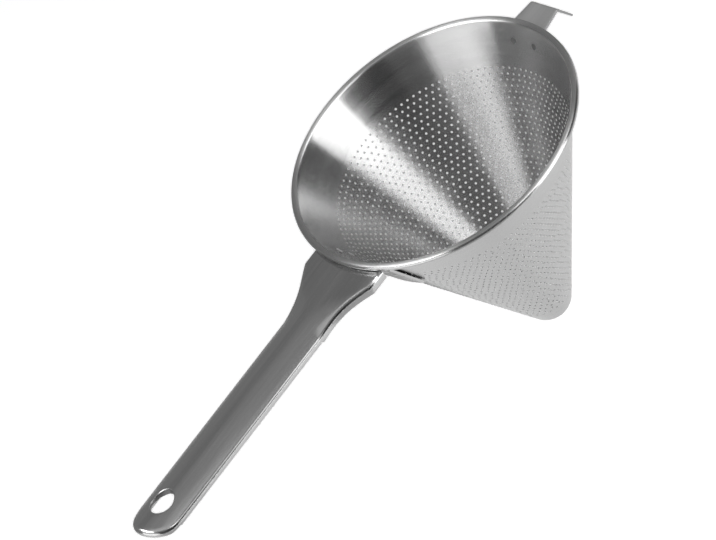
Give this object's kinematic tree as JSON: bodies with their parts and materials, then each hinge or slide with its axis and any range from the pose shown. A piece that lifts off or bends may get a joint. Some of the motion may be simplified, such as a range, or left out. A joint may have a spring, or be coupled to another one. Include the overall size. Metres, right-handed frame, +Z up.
{
  "type": "conical strainer",
  "caption": "Cone of perforated sheet steel with a rolled rim, a flared channel handle with a hang hole and a bent rest hook, for straining liquids over a pot.",
  "frame": {"origin": "middle of the mouth, in the plane of the top of the rolled rim", "axes": "+Z up out of the mouth along the cone's axis, +X along the handle away from the cone"},
  "size_m": [0.3925, 0.1798, 0.1592],
  "materials": {
    "cone_steel": "brushed round the axis inside, satin outside",
    "handle_steel": "polished",
    "hook_steel": "polished",
    "weld_steel": "dull, slightly burnt"
  },
  "bodies": {
    "root": {"strainer_cone": "cone_steel", "handle": "handle_steel", "rest_hook": "hook_steel", "hook_weld_left": "weld_steel", "hook_weld_right": "weld_steel", "saddle_weld_1": "weld_steel", "saddle_weld_2": "weld_steel", "saddle_weld_3": "weld_steel", "saddle_weld_4": "weld_steel", "saddle_weld_5": "weld_steel", "saddle_weld_6": "weld_steel"}
  },
  "joints": []
}
